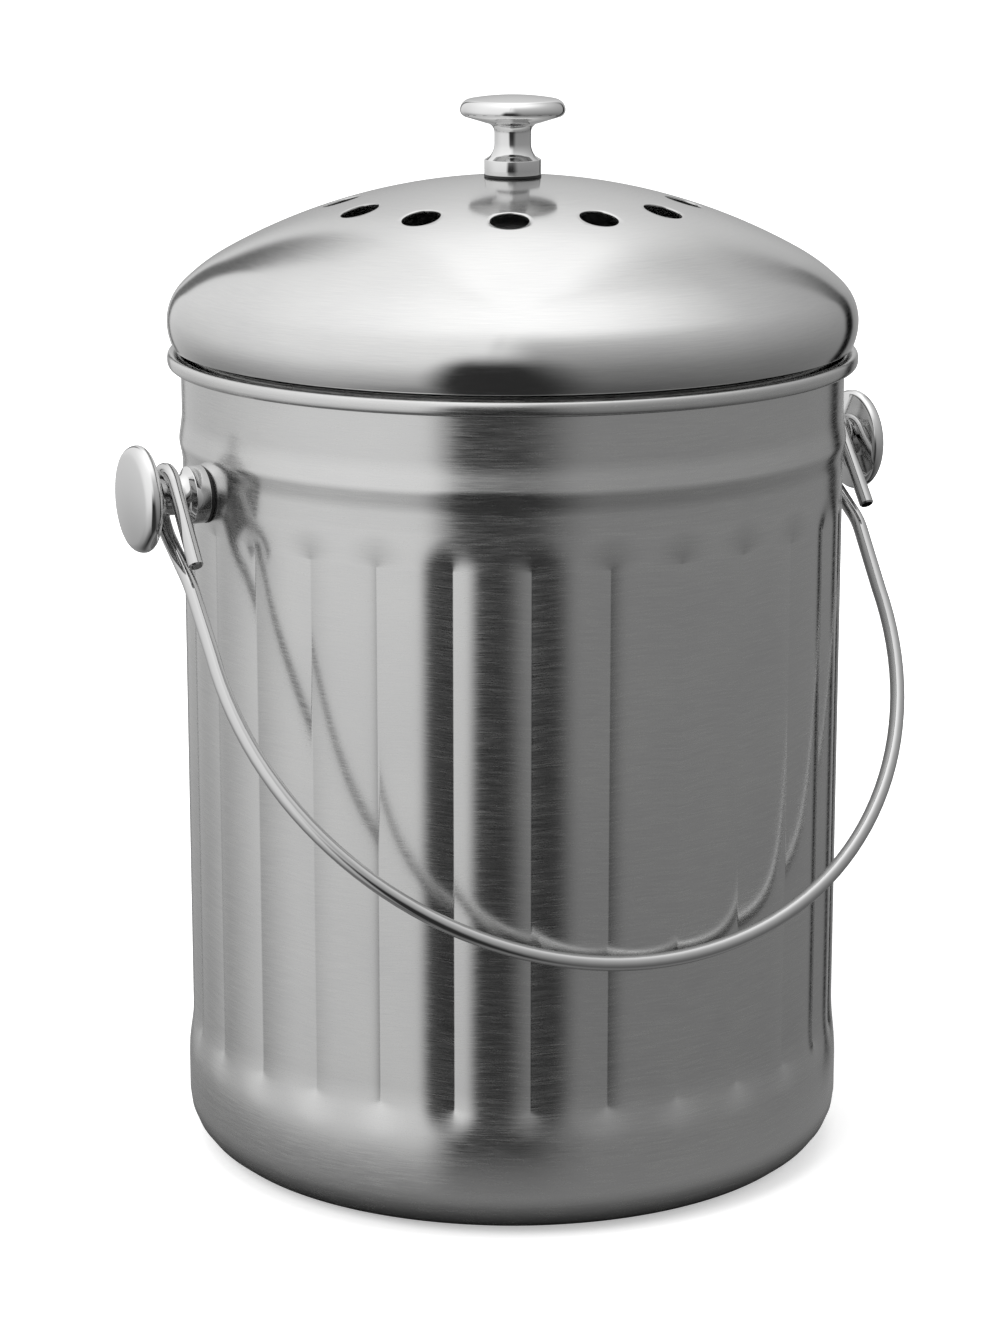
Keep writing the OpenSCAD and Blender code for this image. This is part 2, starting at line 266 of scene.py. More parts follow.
@dataclass(frozen=True)
class PolishedMetal(Finish):
    """Chromium plate or wire polished on a buffing wheel.

    It mirrors what is round it, with a faint waviness and a few hairlines
    from the buffing, so that its reflections aren't perfectly straight.
    """

    colour: str = "DEDEDE"
    roughness: float = 0.035
    roughness_spread: float = 0.03
    hairline: float = 0.35
    wave_size: float = 4.0
    wave_height: float = 0.004

    def surface(self, tree: NodeTree, place: NodeSocket) -> Node:
        """Add the polished metal's nodes.

        Args:
            tree: The material's node tree.
            place: Its object coordinates.

        Returns:
            The shader.
        """
        haze = add_node(
            tree, "TexNoise", {"Scale": per_metre(self.hairline), "Distortion": 1.5},
            {"Vector": place},
        )
        dullest = self.roughness + self.roughness_spread
        gloss = add_node(
            tree, "MapRange",
            {"From Min": 0.35, "From Max": 0.75, "To Min": self.roughness, "To Max": dullest},
            {"Value": haze},
        )
        waves = add_node(
            tree, "TexNoise", {"Scale": per_metre(self.wave_size), "Detail": 1.0},
            {"Vector": place},
        )
        bump = add_node(tree, "Bump", {"Distance": self.wave_height * MM}, {"Height": waves})
        return add_node(
            tree, "BsdfPrincipled", {"Metallic": 1.0, "Base Color": linear(self.colour)},
            {"Roughness": gloss, "Normal": bump},
        )


@dataclass(frozen=True)
class Grained(Finish):
    """A surface with a fine grain: zinc plate, moulded rubber or plastic, or felt.

    The kind and size of its grain, the grain's height and the two colours tell them
    apart: zinc is satin, slightly blue and mottled by its crystals, rubber is smooth
    and even, plastic has a fine spark-eroded texture, felt is fuzzy with grey fibres.
    """

    colour: str
    fleck_colour: str
    roughness: float
    grain: float
    grain_height: float
    roughness_spread: float = 0.12
    crystals: bool = False
    flecks: tuple[float, float] = (0.45, 0.8)
    relief: float = 0.8
    sheen: float = 0.0

    def surface(self, tree: NodeTree, place: NodeSocket) -> Node:
        """Add the grained material's nodes.

        Args:
            tree: The material's node tree.
            place: Its object coordinates.

        Returns:
            The shader.
        """
        kind, detail = "TexNoise", {"Detail": 4.0, "Roughness": 0.7}
        if self.crystals:
            kind, detail = "TexVoronoi", {}
        grains = add_node(tree, kind, {"Scale": per_metre(self.grain), **detail}, {"Vector": place})
        start, end = self.flecks
        flecks = add_node(
            tree, "MapRange", {"From Min": start, "From Max": end}, {"Value": grains}
        )
        colours = {"data_type": "RGBA", 6: linear(self.colour), 7: linear(self.fleck_colour)}
        tint = add_node(tree, "Mix", colours, {0: flecks})
        half = self.roughness_spread / 2
        levels = {"To Min": self.roughness - half, "To Max": self.roughness + half}
        gloss = add_node(tree, "MapRange", levels, {"Value": grains})
        bump = add_node(
            tree, "Bump", {"Strength": self.relief, "Distance": self.grain_height * MM},
            {"Height": grains},
        )
        # A metal keeps the default IOR
        matter = {"Metallic": 1.0} if self.crystals else {"IOR": 1.5}
        return add_node(
            tree, "BsdfPrincipled",
            {**matter, "Sheen Weight": self.sheen, "Sheen Roughness": 0.6},
            {"Base Color": tint.outputs[2], "Roughness": gloss, "Normal": bump},
        )


FINISHES = {
    Slot.PAIL_STEEL: BrushedSteel(),
    Slot.LID_STEEL: BrushedSteel(roughness=0.13, roughness_spread=0.07, anisotropy=0.5),
    Slot.CHROME: PolishedMetal(),
    Slot.WIRE: PolishedMetal(colour="C6C6C6", roughness=0.06),
    Slot.ZINC: Grained(
        "B9BDC2", "9DA0A2", roughness=0.32, roughness_spread=0.16, grain=0.5, grain_height=0.01,
        crystals=True, flecks=(0.0, 1.0), relief=0.3,
    ),
    Slot.RUBBER: Grained("101010", "1C1C1C", roughness=0.5, grain=0.4, grain_height=0.01),
    Slot.FELT: Grained(
        "121214", "303032", roughness=0.95, grain=0.6, grain_height=0.25, sheen=0.3
    ),
    Slot.PLASTIC: Grained("161617", "242426", roughness=0.45, grain=0.25, grain_height=0.012),
}


def add_object(bm: BMesh, name: str, material: Material) -> Object:
    """Put a shape in the scene.

    Args:
        bm: The shape in metres, which is freed here.
        name: The name of its mesh and object.
        material: Its material.

    Returns:
        The new object, at the origin.
    """
    mesh = bpy.data.meshes.new(name)
    bm.to_mesh(mesh)
    bm.free()
    mesh.materials.append(material)
    piece = bpy.data.objects.new(name, mesh)
    bpy.context.scene.collection.objects.link(piece)
    return piece


class Finisher:
    """Gives pieces and solids their finish, body and slot."""

    def __init__(self) -> None:
        """Build every finish once."""
        self.materials = {
            slot: make_material(slot.value, finish.surface) for slot, finish in FINISHES.items()
        }

    def dress_solid(self, node: str, slot: Slot) -> None:
        """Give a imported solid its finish.

        Args:
            node: The solid's name.
            slot: The record's slot that it belongs to.
        """
        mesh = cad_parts[node].data
        mesh.materials.clear()
        mesh.materials.append(self.materials[slot])
        LOG.info("%s keeps its solid, in %s", node, slot.value)

    def place(self, bm: BMesh, name: str, slot: Slot, body: Body, node: str) -> None:
        """Turn a bmesh in millimetres into a finished piece.

        Args:
            bm: The shape, which is freed here.
            name: The piece's name.
            slot: The record's slot that its finish belongs to.
            body: The body that it rides on.
            node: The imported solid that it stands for.
        """
        bmesh.ops.scale(bm, vec=(MM, MM, MM), verts=bm.verts)
        piece = add_object(bm, name, self.materials[slot])
        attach(piece, body.value)
        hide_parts(node)
        LOG.info("%s: %d faces, on %s", name, len(piece.data.polygons), body.value)


# ---------------------------------------------------------------- shapes


def arc(
    centre: Sequence[float], radius: float, start: float, end: float, steps: int
) -> list[Corner]:
    """Return the points of an arc in an outline, from one angle to another.

    Args:
        centre: The arc's centre, as radius and height.
        radius: The arc's radius.
        start: The first angle, in degrees.
        end: The last angle, in degrees.
        steps: How many chords it has.

    Returns:
        Sharp corners, which a rounded outline leaves as they are.
    """
    angles = (math.radians(start + (end - start) * i / steps) for i in range(steps + 1))
    return [
        (centre[0] + radius * math.cos(angle), centre[1] + radius * math.sin(angle), 0.0)
        for angle in angles
    ]


def rounded(corners: Sequence[Sequence[float]], steps: int = 6) -> list[Vector]:
    """Round the corners of a line in two or three dimensions.

    Args:
        corners: The corners, each with its rounding radius as the last number.
        steps: How many chords each rounding has.

    Returns:
        The points of the rounded line.
    """
    points = [Vector(corner[:-1]).to_3d() for corner in corners]
    line = [points[0]]
    for before, here, after, corner in zip(points, points[1:], points[2:], corners[1:]):
        radius = corner[-1]
        to_before = (before - here).normalized()
        to_after = (after - here).normalized()
        half = to_before.angle(to_after, math.pi) / 2
        if radius <= 0 or half > math.radians(STRAIGHT_ANGLE):
            line.append(here)
            continue
        reach = radius / math.tan(half)
        centre = here + (to_before + to_after).normalized() * radius / math.sin(half)
        first = here + to_before * reach - centre
        turn = first.rotation_difference(here + to_after * reach - centre)
        for i in range(steps + 1):
            part = Matrix.Rotation(turn.angle * i / steps, 3, turn.axis)
            line.append(centre + part @ first)
    line.append(points[-1])
    return line


def lathe(bm: BMesh, outline: Sequence[Vector], steps: int) -> list[BMVert]:
    """Turn an outline of radius and height a full turn round Z.

    An eighth is spun, then doubled three times, which is far quicker than one spin.

    Args:
        bm: The bmesh to add to.
        outline: Points with the radius in x and the height in y.
        steps: How many steps the turn has, a multiple of eight.

    Returns:
        The vertices of the turned form, welded at the axis.
    """
    kept = set(bm.verts)
    verts = [bm.verts.new((point.x, 0, point.y)) for point in outline]
    edges = [bm.edges.new(pair) for pair in pairwise(verts)]
    bmesh.ops.spin(
        bm, geom=verts + edges, cent=(0, 0, 0), axis=(0, 0, 1), dvec=(0, 0, 0),
        angle=math.tau / 8, steps=steps // 8, use_merge=False, use_duplicate=False,
    )
    for share in (8, 4, 2):
        turned = [v for v in bm.verts if v not in kept]
        faces = list({face for vert in turned for face in vert.link_faces})
        copy = bmesh.ops.duplicate(bm, geom=turned + faces)["geom"]
        copied = [g for g in copy if isinstance(g, BMVert)]
        turn = Matrix.Rotation(math.tau / share, 3, "Z")
        bmesh.ops.rotate(bm, verts=copied, matrix=turn)
    turned = [v for v in bm.verts if v not in kept]
    bmesh.ops.remove_doubles(bm, verts=turned, dist=WELD)
    return [v for v in bm.verts if v not in kept]


def smooth(bm: BMesh, sharp_from: float = SHARP_ANGLE, turn_out: bool = True) -> None:
    """Shade faces smooth, with sharp edges past an angle.

    Args:
        bm: The shape.
        sharp_from: The smallest angle between faces that stays sharp, in degrees.
        turn_out: Whether the faces are first turned outwards, which needs a closed shape.
    """
    if turn_out:
        bmesh.ops.recalc_face_normals(bm, faces=bm.faces)
    for face in bm.faces:
        face.smooth = True
    for edge in bm.edges:
        edge.smooth = edge.calc_face_angle(0.0) < math.radians(sharp_from)


def sweep(bm: BMesh, path: Sequence[Vector], radius: float, sides: int, chamfer: float) -> None:
    """Sweep a round section along a path, with chamfered ends.

    Args:
        bm: The bmesh to add to.
        path: The points of the path.
        radius: The section's radius.
        sides: How many sides the section has.
        chamfer: The size of the chamfer at both ends.
    """
    directions = [(b - a).normalized() for a, b in pairwise(path)]
    tangents = [directions[0]]
    tangents += [(a + b).normalized() for a, b in pairwise(directions)]
    tangents.append(directions[-1])
    ring = bmesh.ops.create_circle(bm, cap_ends=True, segments=sides, radius=radius)["verts"]
    turn = Vector((0, 0, 1)).rotation_difference(tangents[0]).to_matrix().to_4x4()
    pose = Matrix.Translation(path[0]) @ turn
    bmesh.ops.transform(bm, matrix=pose, verts=ring)
    first_cap = ring[0].link_faces[0]
    edges = list(first_cap.edges)
    for (point, tangent), (last, last_tangent) in zip(
        zip(path[1:], tangents[1:]), zip(path, tangents)
    ):
        grown = bmesh.ops.extrude_edge_only(bm, edges=edges)["geom"]
        verts = [g for g in grown if isinstance(g, BMVert)]
        edges = [g for g in grown if isinstance(g, BMEdge) and all(v in verts for v in g.verts)]
        turn = last_tangent.rotation_difference(tangent).to_matrix().to_4x4()
        pose = Matrix.Translation(point) @ turn @ Matrix.Translation(-last)
        bmesh.ops.transform(bm, matrix=pose, verts=verts)
    last_cap = bmesh.ops.contextual_create(bm, geom=edges)["faces"]
    for cap, point in ((first_cap, path[0]), (last_cap[0], path[-1])):
        inner = bmesh.ops.inset_region(bm, faces=[cap], thickness=chamfer, depth=0.0)
        rim = {v for face in inner["faces"] for v in face.verts} - set(cap.verts)
        inward = path[1] - path[0] if cap is first_cap else path[-2] - path[-1]
        bmesh.ops.translate(bm, vec=inward.normalized() * chamfer, verts=list(rim))


# ---------------------------------------------------------------- pail


@dataclass
class Pail:
    """The fluted pail: one deep-drawn sheet with a rolled rim. Millimetres."""

    height: float
    neck_radius: float = 80.0
    sheet: float = 0.8
    corner_radius: float = 12.0
    band_out: float = 1.2
    bead_radius: float = 1.8
    bead_out: float = 3.25
    bead_drop: float = 2.15
    bead_squareness: float = 0.65
    foot_ring: float = 11.2
    foot_rise: float = 1.0
    foot_slope: float = 1.5
    ridge_drop: float = 21.6
    ridge_out: float = 0.8
    ridge_up: float = 5.4
    ridge_down: float = 4.0
    flute_count: int = 28
    flute_drop: float = 39.2
    flute_depth: float = 0.9
    flute_out: float = 0.15
    flute_turn: float = 3.7
    shoulder_low: float = 23.0
    shoulder_high: float = 33.0
    shoulder_round: float = 60.0
    crease_low: float = 31.6
    crease_top: float = 0.3
    crease_point: float = 1.05
    crest_round: float = 40.0
    ridge_rounds: tuple[float, float, float] = (14.0, 5.0, 26.0)
    foot_round: float = 1.0
    steps_per_flute: int = 14
    crowding: float = 1.8
    bead_steps: int = 26
    fine_step: float = 0.7
    coarse_step: float = 12.0
    sharp_from: float = 50.0

    @property
    def pitch(self) -> float:
        """The angle between two creases."""
        return math.tau / self.flute_count

    @property
    def crest(self) -> float:
        """The radius of the flutes' crests."""
        return self.neck_radius + self.flute_out

    @property
    def crease_high(self) -> float:
        """The height up to which a crease has its full depth."""
        return self.height - self.flute_drop - self.crease_top

    @property
    def scoop(self) -> float:
        """The height over which the end of a crease runs out."""
        return self.crest * self.pitch / 2 / self.crease_point

    def outline(self) -> list[Vector]:
        """Draw the section of the sheet.

        Returns:
            Points of radius and height, from the middle of the underside to that of the floor.
        """
        bead_centre = (
            self.neck_radius + self.bead_out - self.bead_radius, self.height - self.bead_drop
        )
        meet = math.degrees(math.acos((self.neck_radius - bead_centre[0]) / self.bead_radius))
        outer = self.side(0.0)
        bead = [
            self.flatten(corner, bead_centre)
            for corner in arc(bead_centre, self.bead_radius, -meet, 180, self.bead_steps)
        ]
        return rounded(outer + bead) + rounded(self.side(self.sheet)[::-1])

    def flatten(self, corner: Corner, centre: tuple[float, float]) -> Corner:
        """Square up a corner of the rolled rim where it faces out.

        Args:
            corner: A corner of the rim's round outline.
            centre: The centre of that outline.

        Returns:
            The corner as the curling roller leaves it.
        """
        out = (corner[0] - centre[0]) / self.bead_radius
        up = (corner[1] - centre[1]) / self.bead_radius
        if out <= 0:
            return corner
        out = out**self.bead_squareness
        up = math.copysign(abs(up) ** self.bead_squareness, up)
        return (centre[0] + out * self.bead_radius, centre[1] + up * self.bead_radius, corner[2])

    def side(self, depth: float) -> list[Corner]:
        """Return the corners of one face of the sheet.

        Args:
            depth: How far the face lies in from the outer face.

        Returns:
            Corners with their radii, from the axis to below the bead.
        """
        band = self.neck_radius + self.band_out - depth
        crest = self.crest - depth
        neck = self.neck_radius - depth
        panel = self.neck_radius + self.band_out - self.corner_radius - self.foot_ring
        ridge = self.height - self.ridge_drop
        below, on_top, above = self.ridge_rounds
        return [
            (0.0, self.foot_rise + depth, 0.0),
            (panel - self.foot_slope, self.foot_rise + depth, self.foot_round),
            (panel, depth, self.foot_round),
            (band, depth, self.corner_radius - depth),
            (band, self.shoulder_low, self.shoulder_round),
            (crest, self.shoulder_high, self.shoulder_round),
            (crest, self.crease_high, self.crest_round),
            (neck, self.crease_high + self.scoop, self.crest_round),
            (neck, ridge - self.ridge_down, below),
            (neck + self.ridge_out, ridge, on_top),
            (neck, ridge + self.ridge_up, above),
            (neck, self.height - 2 * self.bead_radius, 0.0),
        ]

    def press(self, angle: float) -> float:
        """Return how deep a full flute is pressed in.

        Args:
            angle: The angle from the middle of the flute, in radians.

        Returns:
            The depth, which is greatest at the creases.
        """
        crease = self.crest - self.flute_depth
        reach = crease * math.cos(self.pitch / 2)
        curve = (self.crest**2 + crease**2 - 2 * self.crest * reach) / (2 * (self.crest - reach))
        centre = self.crest - curve
        lobe = centre * math.cos(angle) + math.sqrt(curve**2 - (centre * math.sin(angle)) ** 2)
        return self.crest - lobe

    def beyond(self, height: float) -> float:
        """Return how far a height lies beyond the ends of the creases."""
        return max(self.crease_low - height, height - self.crease_high, 0.0)

    def dent(self, angle: float, height: float) -> float:
        """Return how deep a flute is pressed in at one place.

        A crease ends in a round scoop, as the rounded edge of the die leaves it.

        Args:
            angle: The angle from the middle of the flute, in radians.
            height: The height above the floor.

        Returns:
            The depth, measured towards the axis.
        """
        aside = (self.pitch / 2 - abs(angle)) * self.crest
        away = math.hypot(aside, self.crease_point * self.beyond(height))
        return self.press(max(0.0, self.pitch / 2 - away / self.crest))

    def flute(self, vert: BMVert) -> None:
        """Crowd a vertex towards its crease and press the flute into it.

        Args:
            vert: A vertex of the turned pail, which is moved.
        """
        radius = math.hypot(vert.co.x, vert.co.y)
        if radius < WELD:
            return
        turns = (math.atan2(vert.co.y, vert.co.x) % math.tau) / self.pitch
        index = math.floor(turns + ON_CREASE)
        part = max(0.0, turns - index)
        crowded = (2 * min(part, 1 - part)) ** self.crowding / 2
        part = crowded if part < 0.5 else 1 - crowded
        if radius > self.neck_radius - 2 * self.sheet:
            radius -= self.dent((part - 0.5) * self.pitch, vert.co.z)
        angle = math.radians(self.flute_turn) + (index + part) * self.pitch
        vert.co.x = radius * math.cos(angle)
        vert.co.y = radius * math.sin(angle)

    def refine(self, outline: list[Vector]) -> list[Vector]:
        """Split the long steps of the outline, most of all where the flutes run out.

        Args:
            outline: The section of the sheet.

        Returns:
            The same section with more points.
        """
        points = [outline[0]]
        for here, there in pairwise(outline):
            middle = (here.y + there.y) / 2
            on_wall = min(here.x, there.x) > self.neck_radius - 2 * self.sheet
            fades = 0 < self.beyond(middle) < self.scoop
            longest = self.fine_step if on_wall and fades else self.coarse_step
            cuts = math.ceil((there - here).length / longest)
            points += [here.lerp(there, (i + 1) / cuts) for i in range(cuts)]
        return points

    def build(self, finisher: Finisher) -> None:
        """Build the pail.

        Args:
            finisher: What gives it its finish.
        """
        bm = bmesh.new()
        lathe(bm, self.refine(self.outline()), self.flute_count * self.steps_per_flute)
        for vert in bm.verts:
            self.flute(vert)
        smooth(bm, self.sharp_from)
        finisher.place(bm, "fluted_pail", Slot.PAIL_STEEL, Body.PAIL, "pail_body")


# ---------------------------------------------------------------- lid


@dataclass
class Lid:
    """The domed lid: a pressed dome with vents over a skirt. Millimetres."""

    seat: float
    belly_radius: float = 83.15
    belly_height: float = 5.7
    under_radius: float = 14.0
    knuckle_radius: float = 11.8
    knuckle_end: float = 45.0
    shoulder_radius: float = 44.0
    shoulder_end: float = 61.0
    sheet: float = 0.8
    vent_count: int = 12
    vent_radius: float = 4.5
    vent_ring: float = 41.0
    vent_turn: float = 3.85
    vent_margin: float = 8.0
    hole_radius: float = 2.75
    steps_per_vent: int = 16
    vent_bevel: float = 0.18
    rim_reach: float = 0.28
    rim_angle: float = 50.0
    seam_weld: float = 0.02
    skirt_radius: float = 78.7
    flange_recess: float = 2.4
    skirt_start: float = 4.0
    edge_round: float = 0.25

    def __post_init__(self) -> None:
        """Work out the centres of the outline's arcs."""
        self.belly = (self.belly_radius, self.seat + self.belly_height)
        self.knuckle = (self.belly_radius - self.knuckle_radius, self.belly[1])
        shift = self.shoulder_radius - self.knuckle_radius
        turn = math.radians(self.knuckle_end)
        self.shoulder = (
            self.knuckle[0] - shift * math.cos(turn), self.knuckle[1] - shift * math.sin(turn)
        )
        end = math.radians(self.shoulder_end)
        self.crown_radius = self.shoulder_radius + self.shoulder[0] / math.cos(end)
        rise = (self.crown_radius - self.shoulder_radius) * math.sin(end)
        self.crown_height = self.shoulder[1] - rise

    @property
    def steps(self) -> int:
        """The steps of a full turn."""
        return self.vent_count * self.steps_per_vent

    def crown_point(self, radius: float) -> Vector:
        """Return the point of the crown at a radius."""
        return Vector((radius, self.crown_height + math.sqrt(self.crown_radius**2 - radius**2), 0))

    def crown_line(self, start: float, end: float, steps: int) -> list[Vector]:
        """Return the crown's outline between two radii."""
        return [self.crown_point(start + (end - start) * i / steps) for i in range(steps + 1)]

    def edge_outline(self) -> list[Vector]:
        """Draw the dome outside the band of vents.

        Returns:
            Points of radius and height, from the band out to the lower edge.
        """
        band_end = self.vent_ring + self.vent_margin
        crown_end = self.crown_radius * math.cos(math.radians(self.shoulder_end))
        under = math.degrees(math.asin(self.belly_height / self.under_radius))
        turned = (
            arc(self.shoulder, self.shoulder_radius, self.shoulder_end, self.knuckle_end, 9)
            + arc(self.knuckle, self.knuckle_radius, self.knuckle_end, 0, 14)[1:]
            + arc(
                (self.belly_radius - self.under_radius, self.belly[1]),
                self.under_radius, 0, -under, 6,
            )[1:]
        )
        return self.crown_line(band_end, crown_end, 10)[:-1] + rounded(turned)

    def vent_tile(self, bm: BMesh) -> list[BMVert]:
        """Make one tile of the vents' band, with its hole.

        Args:
            bm: The empty bmesh to add to.

        Returns:
            The tile's vertices, in plan, round the +X axis.
        """
        square = bmesh.ops.create_circle(bm, segments=4, radius=math.sqrt(2))["verts"]
        bmesh.ops.rotate(bm, verts=square, matrix=Matrix.Rotation(math.radians(45), 3, "Z"))
        bmesh.ops.subdivide_edges(bm, edges=bm.edges, cuts=self.steps_per_vent - 1)
        outer = list(bm.verts)
        loop = list(bm.edges)
        half_turn = math.pi / self.vent_count
        for vert in outer:
            reach = self.vent_ring + vert.co.x * self.vent_margin
            angle = vert.co.y * half_turn
            vert.co = (reach * math.cos(angle), reach * math.sin(angle), 0)
        grown = bmesh.ops.extrude_edge_only(bm, edges=loop)["geom"]
        rim = [g for g in grown if isinstance(g, BMVert)]
        centre = Vector((self.vent_ring, 0, 0))
        for vert in rim:
            vert.co = centre + (vert.co - centre).normalized() * self.vent_radius
        spokes = [e for v in rim for e in v.link_edges if e.other_vert(v) in outer]
        bmesh.ops.subdivide_edges(bm, edges=spokes, cuts=5, use_grid_fill=True)
        return list(bm.verts)

    def build(self, finisher: Finisher) -> None:
        """Build the dome and the skirt."""
        self.build_dome(finisher)
        self.build_skirt(finisher)

    def build_dome(self, finisher: Finisher) -> None:
        """Build the dome: the vents' band between a turned crown and a turned edge.

        Args:
            finisher: What gives it its finish.
        """
        bm = bmesh.new()
        tile = self.vent_tile(bm)
        faces = list(bm.faces)
        for i in range(1, self.vent_count):
            copy = bmesh.ops.duplicate(bm, geom=tile + faces)["geom"]
            verts = [g for g in copy if isinstance(g, BMVert)]
            turn = Matrix.Rotation(math.tau * i / self.vent_count, 3, "Z")
            bmesh.ops.rotate(bm, verts=verts, matrix=turn)
        for vert in bm.verts:
            vert.co.z = self.crown_point(vert.co.xy.length).y
        crown = self.crown_line(self.hole_radius, self.vent_ring - self.vent_margin, 12)
        lathe(bm, crown, self.steps)
        lathe(bm, self.edge_outline(), self.steps)
        bmesh.ops.remove_doubles(bm, verts=bm.verts, dist=self.seam_weld)
        bmesh.ops.recalc_face_normals(bm, faces=bm.faces)
        top = max(bm.faces, key=lambda face: face.calc_center_median().z)
        if top.normal.z < 0:
            bmesh.ops.reverse_faces(bm, faces=bm.faces)
        bmesh.ops.solidify(bm, geom=bm.faces, thickness=self.sheet)
        self.bevel_vents(bm)
        turn = Matrix.Rotation(math.radians(self.vent_turn), 3, "Z")
        bmesh.ops.rotate(bm, verts=bm.verts, matrix=turn)
        smooth(bm, turn_out=False)
        finisher.place(bm, "vented_dome", Slot.LID_STEEL, Body.LID, "lid_dome")

    def on_rim(self, vert: BMVert) -> bool:
        """Tell whether a vertex lies on the rim of the vent that is nearest to it.

        Args:
            vert: A vertex of the dome, with the middle of one vent on the +X axis.

        Returns:
            Whether it does.
        """
        turns = math.atan2(vert.co.y, vert.co.x) / math.tau * self.vent_count
        angle = round(turns) * math.tau / self.vent_count
        centre = Vector((math.cos(angle), math.sin(angle))) * self.vent_ring
        return abs((vert.co.xy - centre).length - self.vent_radius) < self.rim_reach

    def bevel_vents(self, bm: BMesh) -> None:
        """Round the punched edges of the vents.

        Args:
            bm: The dome.
        """
        sharp = math.radians(self.rim_angle)
        edges = [
            e for e in bm.edges
            if e.calc_face_angle(0.0) > sharp and all(map(self.on_rim, e.verts))
        ]
        bmesh.ops.bevel(
            bm, geom=edges, offset=self.vent_bevel, segments=2, affect="EDGES",
            profile=0.5, material=-1,
        )

    def build_skirt(self, finisher: Finisher) -> None:
        """Build the flange that rests on the rim and the skirt inside the mouth.

        Args:
            finisher: What gives it its finish.
        """
        low, high = (corner.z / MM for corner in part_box("lid_skirt"))
        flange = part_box("lid_skirt")[1].x / MM - self.flange_recess
        inner = self.skirt_radius - self.sheet
        ring = rounded([
            (inner, low + self.skirt_start, 0.0),
            (inner, low, self.edge_round),
            (self.skirt_radius, low, self.edge_round),
            (self.skirt_radius, high - self.sheet, 0.5),
            (flange, high - self.sheet, self.edge_round),
            (flange, high, 0.1),
            (inner, high, 0.7),
            (inner, low + self.skirt_start, 0.0),
        ], 4)
        bm = bmesh.new()
        lathe(bm, ring, self.steps)
        smooth(bm)
        finisher.place(bm, "lid_skirt_ring", Slot.LID_STEEL, Body.LID, "lid_skirt")


# ---------------------------------------------------------------- knobs and bail


@dataclass(frozen=True)
class Fitting:
    """Where one turned piece goes: its name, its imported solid, its body and its pose."""

    name: str
    node: str
    body: Body
    pose: Matrix


@dataclass
class Knob:
    """The turned knob of the lid, which is also the two studs. Millimetres."""

    cap_radius: float = 12.6
    cap_height: float = 15.35
    top_edge: float = 2.6
    low_edge: float = 1.6
    under_angle: float = 65.0
    crown_radius: float = 60.0
    collar_radius: float = 6.8
    collar_height: float = 3.6
    collar_chamfer: float = 0.8
    edge_round: float = 0.25
    foot_flare: float = 1.1
    cap_flare: float = 2.3
    stem_radius: float = 4.4
    stem_low: float = 7.4
    stem_length: float = 2.6
    gasket_height: float = 0.4
    gasket_out: float = 0.05
    hole_radius: float = 2.75
    steps: int = 128

    def outline(self) -> list[Vector]:
        """Draw the knob.

        Returns:
            Points of radius and height, from the base up to the middle of the cap.
        """
        stem_top = self.stem_low + self.stem_length
        foot = self.stem_radius + self.foot_flare
        foot_z = self.collar_height + self.collar_chamfer
        rise = self.stem_low - foot_z
        flare = (self.foot_flare**2 + rise**2) / (2 * self.foot_flare)
        flare_angle = math.degrees(math.asin(rise / flare))
        edge = self.cap_radius - self.top_edge
        crown_angle = math.degrees(math.asin(edge / (self.crown_radius - self.top_edge)))
        crown = self.cap_height - math.sqrt((self.crown_radius - self.top_edge) ** 2 - edge**2)
        base = [
            (0.0, 0.0, 0.0),
            (self.collar_radius, 0.0, self.edge_round),
            (self.collar_radius, self.collar_height, self.edge_round),
            (foot, foot_z, 0.0),
        ]
        low_flare = arc(
            (self.stem_radius + flare, self.stem_low), flare, 180 + flare_angle, 180, 8
        )
        high_flare = arc(
            (self.stem_radius + self.cap_flare, stem_top), self.cap_flare, 180, 95, 10
        )
        low_rim = arc(
            (self.cap_radius - self.low_edge, self.cap_height), self.low_edge,
            -self.under_angle, 0, 10,
        )
        top_rim = arc((edge, self.cap_height), self.top_edge, 0, 90 - crown_angle, 12)
        crown_line = arc((0.0, crown), self.crown_radius, 90 - crown_angle, 90, 14)
        return rounded(base + low_flare[1:] + high_flare + low_rim + top_rim[1:] + crown_line[1:], 4)

    def build(self, finisher: Finisher, fitting: Fitting) -> None:
        """Build one knob.

        Args:
            finisher: What gives it its finish.
            fitting: Where it goes, by the middle of its base.
        """
        bm = bmesh.new()
        lathe(bm, self.outline(), self.steps)
        bmesh.ops.transform(bm, matrix=fitting.pose, verts=bm.verts)
        smooth(bm)
        finisher.place(bm, fitting.name, Slot.CHROME, fitting.body, fitting.node)

    def build_gasket(
        self, finisher: Finisher, fitting: Fitting, seat: Callable[[Vector], float]
    ) -> None:
        """Build the rubber ring between a knob and the sheet.

        Args:
            finisher: What gives it its finish.
            fitting: Where it goes, by the middle of its lower face.
            seat: How far the sheet falls away below a point of the lower face.
        """
        outer = self.collar_radius + self.gasket_out
        middle = self.gasket_height / 2
        ring = rounded([
            (self.hole_radius, middle, 0.0),
            (self.hole_radius, 0.0, 0.05),
            (outer, 0.0, 0.12),
            (outer, self.gasket_height, 0.18),
            (self.hole_radius, self.gasket_height, 0.05),
            (self.hole_radius, middle, 0.0),
        ], 4)
        bm = bmesh.new()
        for vert in lathe(bm, ring, self.steps):
            if vert.co.z < middle:
                vert.co.z -= seat(vert.co)
        bmesh.ops.transform(bm, matrix=fitting.pose, verts=bm.verts)
        smooth(bm)
        finisher.place(bm, fitting.name, Slot.RUBBER, fitting.body, fitting.node)


